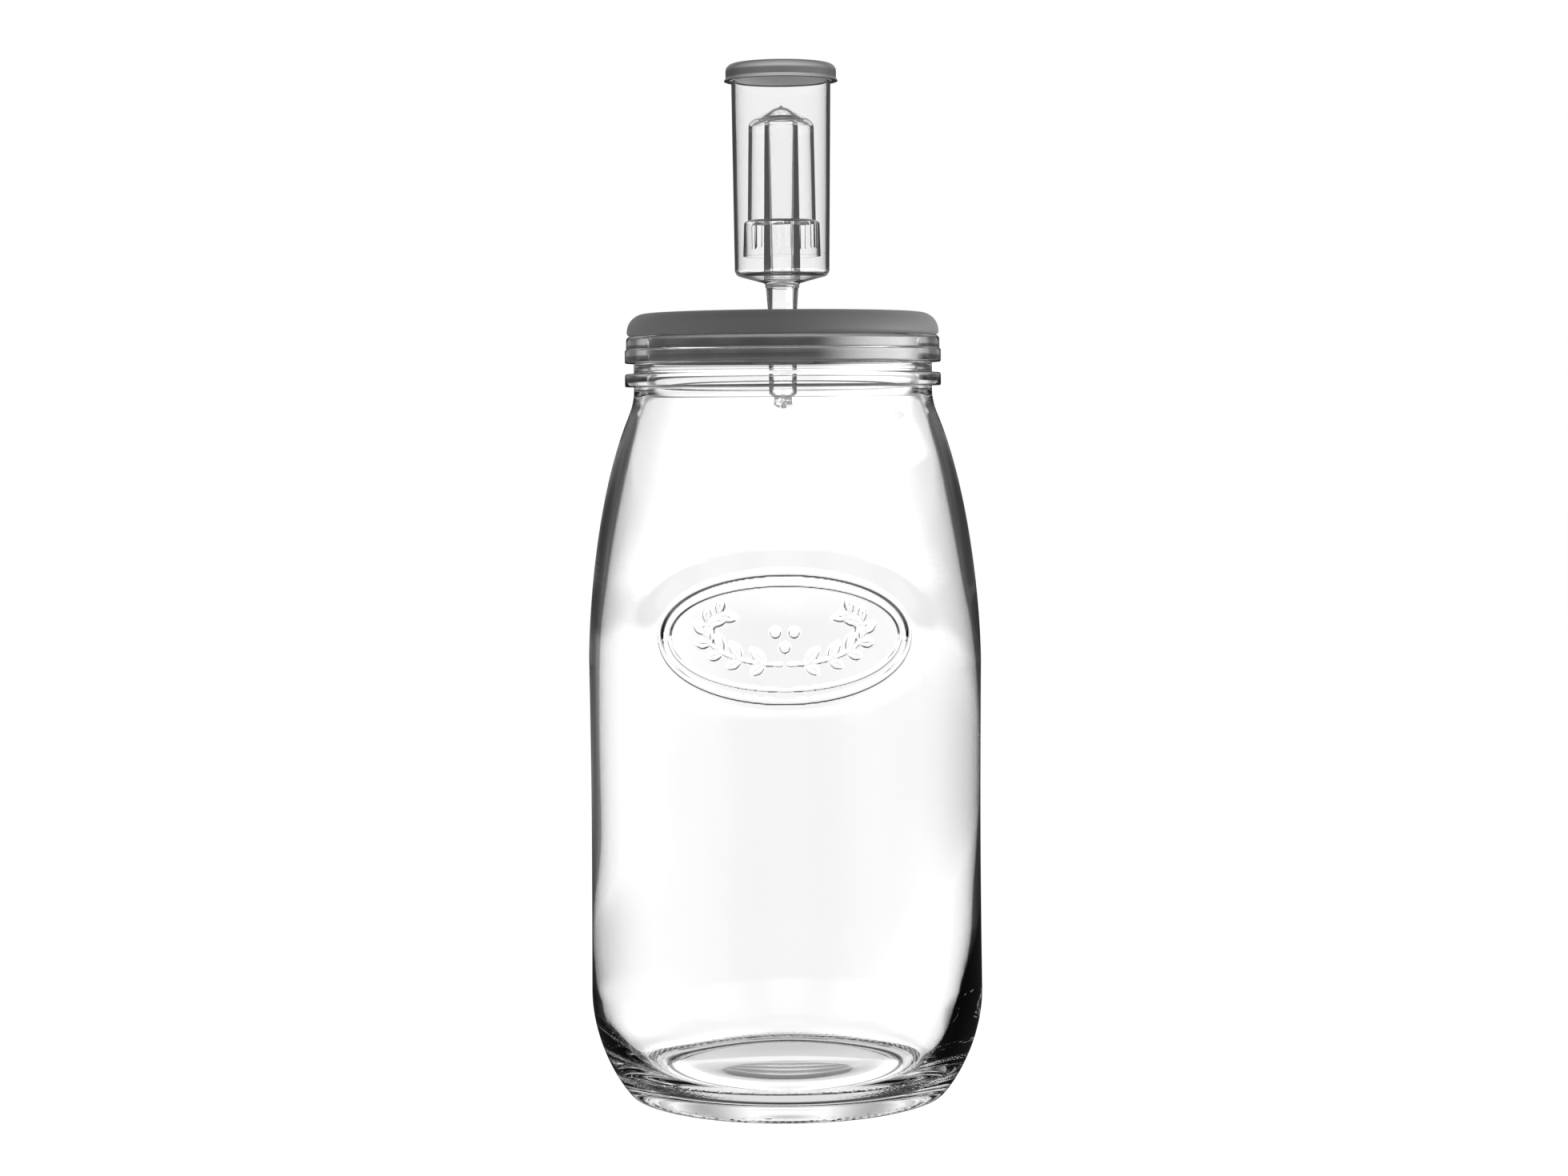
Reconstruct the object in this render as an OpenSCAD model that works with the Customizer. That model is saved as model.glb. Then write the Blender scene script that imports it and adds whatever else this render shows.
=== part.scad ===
// Fermentation jar with a one-piece silicone lid and a three-piece airlock.
// Millimetres. The jar stands on z = 0 and everything is round about the Z axis.

/* [Jar] */
// Height of the glass from the surface it stands on to its rim
jar_h = 262.5; // [200:0.5:330]
// Outside diameter of the body at its widest
body_d = 136.1; // [113:0.1:170]
// How far the sides draw in between the heel and the shoulder
waist_in = 0.35; // [0:0.05:1.5]
// Thickness of the glass in the side wall
glass_wall = 3.2; // [2.4:0.1:4.5]
// Thickness of the glass in the middle of the base
base_t = 5.6; // [4:0.1:9]
// Outside diameter of the ring that the jar stands on
foot_d = 109.3; // [90:0.1:112]
// Width of the ring that the jar stands on
foot_w = 4.6; // [3:0.1:8]
// How far the middle of the base is pushed up
push_up = 4.2; // [2:0.1:8]
// Height of the curve between the standing ring and the side wall
heel_h = 35.6; // [26:0.1:44]
// Height of the shoulder curve, from the side wall to the foot of the neck
shoulder_h = 84.9; // [60:0.1:110]

/* [Jar mouth] */
// Bore of the mouth
mouth_d = 94.6; // [76:0.1:96]
// Thickness of the glass in the neck
neck_wall = 4.1; // [3:0.1:5.5]
// Height of the neck between the shoulder curve and the lower bead
neck_h = 10.1; // [7:0.1:16]
// How far both beads stand out from the neck
bead_out = 3.1; // [2:0.1:4.5]
// Height of the lower bead
lower_bead_h = 4.5; // [3:0.1:7]
// Height of the groove between the beads
groove_h = 3.6; // [2.5:0.1:6]
// Height of the lower step of the upper bead
upper_bead_h = 4.6; // [3:0.1:7]
// Height of the upper step of the upper bead, up to the rim
rim_h = 4.7; // [3:0.1:7]
// How much the upper step is set in from the lower one
rim_step = 0.5; // [0.2:0.1:1.2]

/* [Lid] */
// How far the flange's edge is set in from the glass rim's outside
lid_set_in = 0.25; // [0:0.05:2]
// Thickness of the flange above the rim
lid_t = 7.7; // [5:0.1:12]
// Radius of the flange's top edge
lid_top_r = 6.4; // [2:0.1:8]
// Radius of the flange's lower edge
lid_under_r = 1.2; // [0.4:0.1:2]
// Depth of the plug below the rim
plug_h = 9.6; // [8:0.1:16]
// Thickness of the plug's ring
plug_wall = 5.2; // [3.5:0.1:9]
// Thickness of the lid's top plate
lid_plate = 5.2; // [3.5:0.1:7]
// Clearance between the plug's sealing ribs and the mouth
rib_clear = 0.3; // [0.2:0.05:0.5]
// How far the sealing ribs stand out from the plug
rib_out = 0.8; // [0.4:0.1:1.2]
// Height of the lower sealing rib above the plug's lower edge
rib_lift = 2.4; // [2:0.1:3.4]
// Distance between the two sealing ribs
rib_pitch = 4.2; // [3:0.1:5]
// Thickness of the boss round the airlock's stem
boss_wall = 5.5; // [3:0.1:8]
// Clearance between the stem and its hole
stem_clear = 0.2; // [0.1:0.01:0.3]

/* [Airlock body] */
// Outside diameter of the cup at its rim
cup_d = 34.2; // [28.5:0.1:42]
// How much narrower the cup is at its floor than at its rim
cup_draft = 1.6; // [0.4:0.1:2.4]
// Height of the cup from its floor corner to its rim
cup_h = 69; // [56:0.1:90]
// Thickness of the cup's wall and floor
cup_wall = 1.35; // [1:0.05:2]
// Outside radius of the corner between the cup's wall and floor
cup_corner_r = 2.6; // [1.8:0.1:4]
// How far the floor's cone falls from the corner to the stem
floor_fall = 2.6; // [1.5:0.1:4]
// Length of bare stem between the lid and the cup
stem_show = 9.8; // [7:0.1:14]
// Outside diameter of the stem where it enters the lid
stem_d = 10.1; // [8.4:0.1:12.2]
// How much wider the stem is where it leaves the cup
stem_flare = 0.9; // [0.2:0.1:1.6]
// How much narrower the stem is at its lower end
stem_taper = 0.6; // [0.2:0.1:1.2]
// Thickness of the stem's wall at its lower end
stem_wall = 1.05; // [0.8:0.05:1.4]
// Length of stem that hangs below the lid's plug
stem_below = 8.6; // [5:0.1:16]
// Height between the inner tube's rim and the cup's rim
head_room = 16.4; // [12:0.1:30]
// Outside diameter of the inner tube at its top
tube_d = 11.4; // [9.5:0.1:13.8]
// How much wider the inner tube is at the cup's floor
tube_draft = 1.2; // [0.4:0.1:1.6]
// Thickness of the inner tube's wall at its top
tube_wall = 1.2; // [0.9:0.05:1.6]
// Length of the finned tip under the stem
tip_h = 7.6; // [5:0.1:9]
// How far the fins are set in from the outside of the stem
tip_in = 1.5; // [1.2:0.1:2]
// Thickness of a fin
fin_t = 1.3; // [1:0.1:1.8]

/* [Bubbler] */
// Gap between the skirt's lower edge and the cup's wall at its floor
skirt_gap = 1.6; // [0.8:0.1:2.4]
// How much wider the skirt is at its lower edge than at its top
skirt_draft = 0.7; // [0.2:0.1:1]
// How far the skirt's lower edge stands out from the side above it
skirt_out = 1.65; // [1.2:0.05:2.4]
// How much wider the side is above the skirt than under its shoulder
bubbler_draft = 1; // [0.4:0.1:1.6]
// Height of the bubbler's lower edge above the cup's floor corner
bubbler_lift = 4.55; // [2:0.05:8]
// Height of the slotted skirt
skirt_h = 11.9; // [8:0.1:16]
// Thickness of the bubbler's wall
bubbler_wall = 1; // [0.8:0.05:1.2]
// Slope of the cone on top of the bubbler, in degrees
cone_tilt = 28.7; // [18:0.1:36]
// Radius of the cone's rounded tip
crown_r = 6.4; // [3:0.1:8]
// Radius of the shoulder between the cone and the side
shoulder_r = 3.2; // [2:0.1:4.5]
// Height of the moulding gate left on the tip
gate_h = 0.45; // [0.2:0.05:0.8]
// Number of slots round the skirt
slot_n = 8; // [4:1:12]
// Width of a slot
slot_w = 2.3; // [1.4:0.1:2.8]
// Distance from the top of the skirt down to its slots
slot_drop = 0.6; // [0.4:0.1:1.5]
// Height of the closed ring under the slots
skirt_ring = 2.6; // [1.5:0.1:4]
// Gap between the bubbler's cone and the top of the inner tube
seat_gap = 0.3; // [0.2:0.05:0.5]

/* [Cap] */
// Thickness of the cap's top
cap_top_t = 1.3; // [1:0.1:2.2]
// Thickness of the cap's side wall
cap_wall = 1.6; // [1:0.1:2.4]
// Clearance between the cap's bore and the cup's rim
cap_clear = 0.3; // [0.2:0.05:0.5]
// Depth of the cap's side below its top plate
cap_depth = 4.6; // [4:0.1:8]
// Radius of the cap's top edge
cap_edge_r = 2.2; // [1:0.1:2.6]
// How far the brim flares out from the cap's side
brim_out = 0.5; // [0.2:0.1:1]
// Number of vent holes in the cap
vent_n = 4; // [3:1:8]
// Diameter of a vent hole
vent_d = 1.2; // [0.8:0.1:2]

/* [Hidden] */
$fn = 96;
// Overlap that keeps two joined shapes one solid
join = 0.2;
// Steps in each drawn curve
curve_n = 14;
// Steps in each quarter of an edge rounding
edge_n = 6;

// Jar radii and levels
body_r = body_d / 2;
foot_r = foot_d / 2;
mouth_r = mouth_d / 2;
neck_r = mouth_r + neck_wall;
rim_z = jar_h;
step_z = rim_z - rim_h;
bead_bottom_z = step_z - upper_bead_h;
groove_bottom_z = bead_bottom_z - groove_h;
neck_top_z = groove_bottom_z - lower_bead_h;
neck_foot_z = neck_top_z - neck_h;
shoulder_z = neck_foot_z - shoulder_h;
bead_r = neck_r + bead_out;
// The neck flares by this much before the shoulder curve takes over
neck_flare = 2;
// Sideways run of the shoulder for each millimetre of height at the neck
shoulder_slope = 0.415;
// How far each end of a curve follows the wall it leaves, as a share of the curve's height
heel_pull = 0.44;
heel_inner_pull = 0.34;
shoulder_pull = 0.18;
neck_pull = 0.4;
// Inside radius at the foot of the neck, where the sloping wall is as thick as the side
inner_foot_r = neck_r + neck_flare - glass_wall * sqrt(1 + shoulder_slope * shoulder_slope);
// Inner edge of the standing ring, and the sideways run of the curve from it to the middle
ring_in_r = foot_r - foot_w;
push_run = 22;
// Level of the inside of the base at its edge, and the radius of that edge
floor_edge_z = base_t + push_up / 2;
floor_edge_r = ring_in_r - 3.5;
// Edge radii of the beads, the step and the rim
bead_edge_r = 0.9;
bead_root_r = 0.5;
neck_root_r = 0.6;
step_edge_r = 0.6;
step_root_r = 0.3;
rim_out_r = 1.6;
rim_in_r = 1.2;

// Lid
plug_r = mouth_r - rib_clear - rib_out;
lid_r = bead_r - rim_step - lid_set_in;
lid_top_z = rim_z + lid_t;
plug_bottom_z = rim_z - plug_h;
// Edge radii of the hole, the plug and the recess
hole_edge_r = 0.8;
plug_edge_r = 1;
recess_edge_r = 1.5;
// Bevel where the plug meets the flange
plug_root = 0.4;
// The top edge's radius, kept within the flange's thickness
lid_edge_r = min(lid_top_r, lid_t - lid_under_r - 0.1);
stem_r_top = stem_d / 2;
stem_r_end = (stem_d - stem_taper) / 2;

// Airlock levels, from the lid's top
cup_base_z = lid_top_z + stem_show;
corner_z = cup_base_z + floor_fall;
cup_floor_z = corner_z + cup_corner_r;
cup_rim_z = cup_floor_z + cup_h;
tube_top_z = cup_rim_z - head_room;
stem_end_z = plug_bottom_z - stem_below;
tip_z = stem_end_z - tip_h;
cup_r = cup_d / 2;
cup_floor_r = (cup_d - cup_draft) / 2;
tube_r = tube_d / 2;
tube_floor_r = (tube_d + tube_draft) / 2;
tube_bore_r = tube_r - tube_wall;
stem_bore_r = stem_r_end - stem_wall;
stem_cup_r = (stem_d + stem_flare) / 2;
// The small collar where the cup's floor meets the stem, and the curve above it
collar_r = stem_cup_r + 0.35;
collar_edge_r = 0.4;
collar_root_r = 1;
// The cup's corner turns this far before the floor's cone takes over
corner_sweep = 62;
// Curve between the inner tube and the cup's floor
tube_root_r = 0.8;
// The stem draws in to the fins over this height
tip_cone_h = 1.6;
tip_r = stem_r_end - tip_in;
// Width of the stem's open lower edge
tip_edge = 1;
// Height of the blunt point on the fins
tip_point_h = 1.5;

// Bubbler levels: the inside of its cone rests on the inner tube's sloping rim
skirt_r = cup_floor_r - cup_wall - skirt_gap;
side_end_r = skirt_r - skirt_out;
bubbler_r = side_end_r - bubbler_draft / 2;
crown_end_r = crown_r * sin(cone_tilt);
crown_fall = crown_r * (1 - cos(cone_tilt));
bubbler_apex_z = tube_top_z + crown_fall + (seat_gap + bubbler_wall) / cos(cone_tilt)
    + (tube_bore_r - crown_end_r) * tan(cone_tilt);
// Edge radius of the step, and its share that the inside follows
step_r = 0.9;
step_share = 0.6;
cone_end_r = bubbler_r - shoulder_r * (1 - sin(cone_tilt));
cone_end_z = bubbler_apex_z - crown_fall - (cone_end_r - crown_end_r) * tan(cone_tilt);
shoulder_mid_z = cone_end_z - shoulder_r * cos(cone_tilt);
bubbler_bottom_z = cup_floor_z + bubbler_lift;
skirt_top_z = bubbler_bottom_z + skirt_h;

// Cap
cap_bore_r = cup_r + cap_clear;
cap_r = cap_bore_r + cap_wall;
cap_top_z = cup_rim_z + cap_top_t;
cap_bottom_z = cup_rim_z - cap_depth;
// Height of the brim's flare, and the bevel inside its lower edge
brim_h = 1.3;
brim_edge = 0.25;
bore_bevel = 0.4;

// A cubic curve from p0 to p3, drawn towards p1 and p2
function bezier(p0, p1, p2, p3, n = curve_n) = [
    for (i = [0:n])
        let (t = i / n, u = 1 - t)
        u * u * u * p0 + 3 * u * u * t * p1 + 3 * u * t * t * p2 + t * t * t * p3
];

// An arc about c from angle a to angle b
function arc(c, r, a, b, n = edge_n) = [
    for (i = [0:n])
        c + r * [cos(a + (b - a) * i / n), sin(a + (b - a) * i / n)]
];

// A run of outline turned end for end
function reversed(pts) = [for (i = [len(pts) - 1:-1:0]) pts[i]];

// Outer side of the jar from the standing ring up to the neck
function jar_side() = concat(
    bezier([foot_r, 0], [foot_r + 1, 0], [body_r, heel_h * heel_pull], [body_r, heel_h]),
    bezier(
        [body_r, heel_h],
        [body_r - waist_in * 1.4, heel_h + (shoulder_z - heel_h) * 0.4],
        [body_r - waist_in * 1.4, heel_h + (shoulder_z - heel_h) * 0.6],
        [body_r, shoulder_z]
    ),
    bezier(
        [body_r, shoulder_z],
        [body_r, shoulder_z + shoulder_h * shoulder_pull],
        [neck_r + neck_flare + shoulder_slope * shoulder_h / 3, neck_foot_z - shoulder_h / 3],
        [neck_r + neck_flare, neck_foot_z]
    ),
    bezier(
        [neck_r + neck_flare, neck_foot_z],
        [neck_r + neck_flare - shoulder_slope * neck_h / 3, neck_foot_z + neck_h / 3],
        [neck_r, neck_top_z - neck_h * neck_pull],
        [neck_r, neck_top_z - neck_root_r - join],
        8
    )
);

// Both beads, the groove between them and the rim
function jar_finish() = concat(
    arc([neck_r + neck_root_r, neck_top_z - neck_root_r], neck_root_r, 180, 90, 3),
    arc([bead_r - bead_edge_r, neck_top_z + bead_edge_r], bead_edge_r, -90, 0),
    arc([bead_r - bead_edge_r, groove_bottom_z - bead_edge_r], bead_edge_r, 0, 90),
    arc([neck_r + bead_root_r, groove_bottom_z + bead_root_r], bead_root_r, 270, 180, 3),
    arc([neck_r + bead_root_r, bead_bottom_z - bead_root_r], bead_root_r, 180, 90, 3),
    arc([bead_r - bead_edge_r, bead_bottom_z + bead_edge_r], bead_edge_r, -90, 0),
    arc([bead_r - step_edge_r, step_z - step_edge_r], step_edge_r, 0, 60, 3),
    arc([bead_r - rim_step - step_root_r, step_z + 0.4], step_root_r, -30, 0, 2),
    arc([bead_r - rim_step - rim_out_r, rim_z - rim_out_r], rim_out_r, 0, 90),
    arc([mouth_r + rim_in_r, rim_z - rim_in_r], rim_in_r, 90, 180)
);

// Inside of the jar from the mouth down to the middle of the base
function jar_inside() = concat(
    bezier(
        [mouth_r, groove_bottom_z],
        [mouth_r, neck_top_z],
        [inner_foot_r - shoulder_slope * neck_h * neck_pull, neck_foot_z + neck_h * neck_pull],
        [inner_foot_r, neck_foot_z],
        10
    ),
    reversed(bezier(
        [body_r - glass_wall, shoulder_z],
        [body_r - glass_wall, shoulder_z + shoulder_h * shoulder_pull],
        [inner_foot_r + shoulder_slope * shoulder_h / 3, neck_foot_z - shoulder_h / 3],
        [inner_foot_r, neck_foot_z]
    )),
    reversed(bezier(
        [floor_edge_r, floor_edge_z],
        [floor_edge_r + (body_r - glass_wall - floor_edge_r) * 0.62, floor_edge_z],
        [body_r - glass_wall, floor_edge_z + heel_h * heel_inner_pull],
        [body_r - glass_wall, heel_h + floor_edge_z * 0.5]
    )),
    reversed(bezier(
        [0, base_t + push_up],
        [floor_edge_r * 0.4, base_t + push_up],
        [floor_edge_r * 0.75, floor_edge_z],
        [floor_edge_r, floor_edge_z],
        8
    ))
);

// Hollow under the base, from the middle out to the standing ring
function jar_under() = concat(
    [[0, push_up]],
    reversed(bezier(
        [ring_in_r, 0],
        [ring_in_r - push_run / 11, 0],
        [ring_in_r - push_run * 4 / 11, push_up],
        [ring_in_r - push_run, push_up]
    ))
);

module jar() {
    color("aliceblue", 0.35)
    rotate_extrude()
    polygon(concat(jar_side(), jar_finish(), jar_inside(), jar_under()));
}

// Radius of the stem at a level below the lid's top
function stem_r(z) = stem_r_end + (stem_r_top - stem_r_end) * (z - stem_end_z) / (lid_top_z - stem_end_z);

// Outline of the lid: rounded flange, plug ring with two sealing ribs, recess and boss
module lid_outline() {
    hole_top_r = stem_r(lid_top_z) + stem_clear;
    hole_bottom_r = stem_r(plug_bottom_z) + stem_clear;
    boss_r = stem_r_top + boss_wall;
    recess_r = plug_r - plug_wall;
    recess_z = lid_top_z - lid_plate;
    rib_z = plug_bottom_z + rib_lift;
    polygon(concat(
        arc([hole_top_r + hole_edge_r, lid_top_z - hole_edge_r], hole_edge_r, 180, 90, 3),
        arc([lid_r - lid_edge_r, lid_top_z - lid_edge_r], lid_edge_r, 90, 0, 10),
        arc([lid_r - lid_under_r, rim_z + lid_under_r], lid_under_r, 0, -90),
        [[plug_r + plug_root, rim_z], [plug_r, rim_z - plug_root]],
        rib(rib_z + rib_pitch),
        rib(rib_z),
        arc([plug_r - plug_edge_r, plug_bottom_z + plug_edge_r], plug_edge_r, 0, -90),
        arc([recess_r + plug_edge_r, plug_bottom_z + plug_edge_r], plug_edge_r, 270, 180),
        arc([recess_r - recess_edge_r, recess_z - recess_edge_r], recess_edge_r, 0, 90),
        arc([boss_r + recess_edge_r, recess_z - recess_edge_r], recess_edge_r, 90, 180),
        arc([boss_r - plug_edge_r, plug_bottom_z + plug_edge_r], plug_edge_r, 0, -90),
        [[hole_bottom_r, plug_bottom_z]]
    ));
}

// One rounded sealing rib on the plug's side
function rib(z) = arc([plug_r, z], rib_out, 90, -90, 8);

module lid() {
    color("dimgray")
    rotate_extrude()
    lid_outline();
}

// Outside of the cup and stem, from the cup's rim down to the end of the stem
function airlock_outside() = concat(
    [[cup_r, cup_rim_z]],
    arc([cup_floor_r - cup_corner_r, cup_floor_z], cup_corner_r, 0, -corner_sweep),
    arc([collar_r + collar_root_r, cup_base_z - 0.3], collar_root_r, 105, 180, 4),
    arc([collar_r - collar_edge_r, cup_base_z - 0.7], collar_edge_r, 0, -80, 3),
    [
        [stem_cup_r, cup_base_z - 1.4],
        [stem_r_top, lid_top_z + 1.6],
        [stem_r_top, lid_top_z],
        [stem_r_end, stem_end_z + 0.2],
        [stem_r_end - 0.2, stem_end_z],
        [tip_r, stem_end_z - tip_cone_h]
    ]
);

// The stem's bore, widening upwards, and the inner tube's rim
function airlock_bore() = [
    [tip_r - tip_edge, stem_end_z - tip_cone_h],
    [stem_bore_r, stem_end_z + tip_edge + join],
    [tube_bore_r, tube_top_z],
    [tube_r, tube_top_z - (tube_r - tube_bore_r) * tan(cone_tilt)]
];

// The cup's inside, from the foot of the inner tube up to its rim
function airlock_inside() = concat(
    arc([tube_floor_r + tube_root_r, cup_base_z + cup_wall + 2.2], tube_root_r, 180, 250, 3),
    arc(
        [cup_floor_r - cup_corner_r, cup_floor_z],
        cup_corner_r - cup_wall,
        -corner_sweep,
        0
    ),
    [[cup_r - cup_wall, cup_rim_z]]
);

// Two crossed fins with a blunt pointed end
module tip_fins() {
    intersection() {
        union() {
            for (a = [0, 90])
                rotate([0, 0, a])
                translate([-tip_r, -fin_t / 2, tip_z])
                cube([2 * tip_r, fin_t, tip_h]);
        }
        rotate_extrude()
        polygon([
            [0, tip_z],
            [tip_r, tip_z + tip_point_h],
            [tip_r - 0.2, stem_end_z - tip_cone_h],
            [tip_r - 0.6, stem_end_z],
            [0, stem_end_z]
        ]);
    }
}

module airlock_body() {
    color("gainsboro", 0.4)
    union() {
        rotate_extrude()
        polygon(concat(airlock_outside(), airlock_bore(), airlock_inside()));
        tip_fins();
    }
}

// Outline of the bubbler, from its tip to its lower edge, set in by the wall for the inside
function bubbler_side(inset) = concat(
    arc([0, bubbler_apex_z - crown_r], crown_r - inset, 90, 90 - cone_tilt),
    arc([bubbler_r - shoulder_r, shoulder_mid_z], shoulder_r - inset, 90 - cone_tilt, 0),
    [[side_end_r - inset, skirt_top_z + 0.4 - inset * step_share]],
    arc(
        [skirt_r - skirt_draft / 2 - step_r, skirt_top_z - step_r],
        step_r - inset * step_share,
        80,
        0,
        4
    ),
    [[skirt_r - inset, bubbler_bottom_z]]
);

module bubbler_slots() {
    for (i = [0:slot_n - 1])
        rotate([0, 0, i * 360 / slot_n])
        translate([bubbler_r - 2, -slot_w / 2, bubbler_bottom_z + skirt_ring])
        cube([skirt_r - bubbler_r + 4, slot_w, skirt_h - skirt_ring - slot_drop]);
}

module bubbler() {
    color("whitesmoke", 0.4)
    difference() {
        union() {
            rotate_extrude()
            polygon(concat(bubbler_side(0), reversed(bubbler_side(bubbler_wall))));
            translate([0, 0, bubbler_apex_z - join])
            cylinder(h = gate_h + join, d1 = 1.3, d2 = 0.8, $fn = 24);
        }
        bubbler_slots();
    }
}

// Cap with a rounded edge, a short side and a thin flared brim
module cap_outline() {
    polygon(concat(
        [[0, cap_top_z]],
        arc([cap_r - cap_edge_r, cap_top_z - cap_edge_r], cap_edge_r, 90, 0),
        [
            [cap_r, cap_bottom_z + brim_h],
            [cap_r + brim_out, cap_bottom_z + brim_edge],
            [cap_r + brim_out, cap_bottom_z],
            [cap_bore_r + bore_bevel, cap_bottom_z],
            [cap_bore_r, cap_bottom_z + bore_bevel],
            [cap_bore_r, cup_rim_z],
            [0, cup_rim_z]
        ]
    ));
}

module cap_vents() {
    for (i = [0:vent_n - 1])
        rotate([0, 0, 45 + i * 360 / vent_n])
        translate([cup_r / 2, 0, cup_rim_z - join])
        cylinder(h = cap_top_t + 2 * join, d = vent_d, $fn = 24);
}

module airlock_cap() {
    color("darkgray")
    difference() {
        rotate_extrude()
        cap_outline();
        cap_vents();
    }
}

jar();
lid();
airlock_body();
bubbler();
airlock_cap();
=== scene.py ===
"""Looks of the fermentation jar: blown glass jar, silicone lid and a clear three-piece airlock."""
import math

import bpy
import numpy as np
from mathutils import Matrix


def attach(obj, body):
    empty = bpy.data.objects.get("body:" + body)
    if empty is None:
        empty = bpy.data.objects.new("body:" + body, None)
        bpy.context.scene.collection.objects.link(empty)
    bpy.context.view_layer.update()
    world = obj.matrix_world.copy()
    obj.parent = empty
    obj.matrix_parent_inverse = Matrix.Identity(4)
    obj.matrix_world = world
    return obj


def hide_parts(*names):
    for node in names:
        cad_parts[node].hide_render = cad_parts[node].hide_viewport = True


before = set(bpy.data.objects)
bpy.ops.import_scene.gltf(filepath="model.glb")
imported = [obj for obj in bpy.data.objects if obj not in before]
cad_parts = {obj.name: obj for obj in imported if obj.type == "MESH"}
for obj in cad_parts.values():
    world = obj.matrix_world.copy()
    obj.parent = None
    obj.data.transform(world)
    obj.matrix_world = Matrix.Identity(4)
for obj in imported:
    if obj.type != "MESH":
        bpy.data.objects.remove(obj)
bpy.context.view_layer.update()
MM = 0.001

# Sizes in millimetres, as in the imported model
BODY_R, FOOT_R, FOOT_W, GLASS = 68.05, 54.65, 4.6, 3.2
WAIST, HEEL_H, SHOULDER_Z, NECK_FOOT_Z = 0.35, 35.6, 150.1, 235.0
PUSH_UP, FLOOR_Z, FLOOR_EDGE_Z, FLOOR_EDGE_R = 4.2, 9.8, 7.7, 46.55
NECK_R, NECK_TOP_Z, MOUTH_R, BEAD_R = 51.4, 245.1, 47.3, 54.5
GROOVE_Z, BEAD_Z, STEP_Z, RIM_Z = 249.6, 253.2, 257.8, 262.5
SHOULDER_SLOPE, NECK_FLARE, RIM_STEP = 0.415, 2.0, 0.5
LID_R, LID_TOP_Z, PLUG_R, PLUG_Z = 53.75, 270.2, 46.2, 254.3
RECESS_R, RECESS_Z, BOSS_R = 41.0, 265.0, 10.55
STEM_R, STEM_END_R, STEM_END_Z, TIP_Z, TIP_R = 5.05, 4.75, 244.3, 236.7, 3.25
CUP_R, CUP_FLOOR_R, CUP_WALL, CORNER_R = 17.1, 16.3, 1.05, 2.6
CUP_BASE_Z, CUP_FLOOR_Z, CUP_RIM_Z = 280.0, 285.2, 354.2
TUBE_R, TUBE_FOOT_R, TUBE_BORE_R, TUBE_TOP_Z = 5.7, 6.3, 4.7, 337.8
CONE_TILT, CROWN_R, ELBOW_R, APEX_Z = 28.7, 6.4, 3.2, 340.79
BELL_R, BELL_END_R, SKIRT_R, BELL_WALL = 11.2, 11.7, 13.35, 0.85
SKIRT_TOP_Z, BELL_BOTTOM_Z = 301.65, 289.75
SLOTS, SLOT_W, SLOT_LOW_Z, SLOT_HIGH_Z, SLOT_TURN = 8, 2.3, 292.35, 301.05, 8.5
CAP_R, CAP_BORE_R, CAP_TOP_Z, CAP_BOTTOM_Z, CAP_EDGE_R = 19.0, 17.4, 355.5, 349.6, 2.6
VENT_AT_R, VENT_R, VENT_CELL = 8.55, 0.6, 0.5
FRONT = -math.pi / 2


# Outlines: each is a run of points (radius, height) in millimetres

def bezier(p0, p1, p2, p3, n=40):
    """Cubic curve from p0 to p3, pulled towards p1 and p2: the four points weighted by the Bernstein shares of t."""
    t = np.linspace(0, 1, n + 1)[:, None]
    u = 1 - t
    p0, p1, p2, p3 = (np.array(p, float) for p in (p0, p1, p2, p3))
    return u**3 * p0 + 3 * u**2 * t * p1 + 3 * u * t**2 * p2 + t**3 * p3


def arc(centre, r, a, b, n=8):
    """Part of a circle: centre plus r times (cos, sin) of angles evenly spaced from a to b degrees."""
    t = np.radians(np.linspace(a, b, n + 1))
    return np.array(centre, float) + r * np.stack([np.cos(t), np.sin(t)], 1)


def outline(*runs, step=1.2):
    """Runs joined end to end, with repeated points dropped and long straights cut into pieces of at most step."""
    pts = np.concatenate([np.atleast_2d(np.array(r, float)) for r in runs])
    pts = pts[np.r_[True, np.hypot(*np.diff(pts, axis=0).T) > 0.004]]
    gaps = np.maximum(1, np.ceil(np.hypot(*np.diff(pts, axis=0).T) / step)).astype(int)
    first = np.repeat(np.arange(len(gaps)), gaps)
    share = (np.arange(gaps.sum()) - np.repeat(np.cumsum(gaps) - gaps, gaps)) / gaps[first]
    return np.vstack([pts[first] + share[:, None] * (pts[first + 1] - pts[first]), pts[-1:]])


# Meshes

def make_piece(name, verts, faces, material, body, stands_for, slot, sharp=48):
    """A mesh object from points in millimetres, its faces turned outwards, smooth except at corners over sharp degrees."""
    mesh = bpy.data.meshes.new(name)
    mesh.from_pydata((np.asarray(verts) * MM).tolist(), [], faces)
    mesh.validate()
    mesh.update()
    mesh.calc_loop_triangles()
    tri = np.zeros(len(mesh.loop_triangles) * 3, int)
    mesh.loop_triangles.foreach_get("vertices", tri)
    a, b, c = np.asarray(verts)[tri.reshape(-1, 3)].transpose(1, 0, 2)
    if (a * np.cross(b, c)).sum() < 0:
        mesh.flip_normals()
    mesh.shade_smooth()
    mesh.set_sharp_from_angle(angle=math.radians(sharp))
    mesh.materials.append(material)
    piece = bpy.data.objects.new(name, mesh)
    bpy.context.scene.collection.objects.link(piece)
    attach(piece, body)
    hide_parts(stands_for)
    return piece


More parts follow.
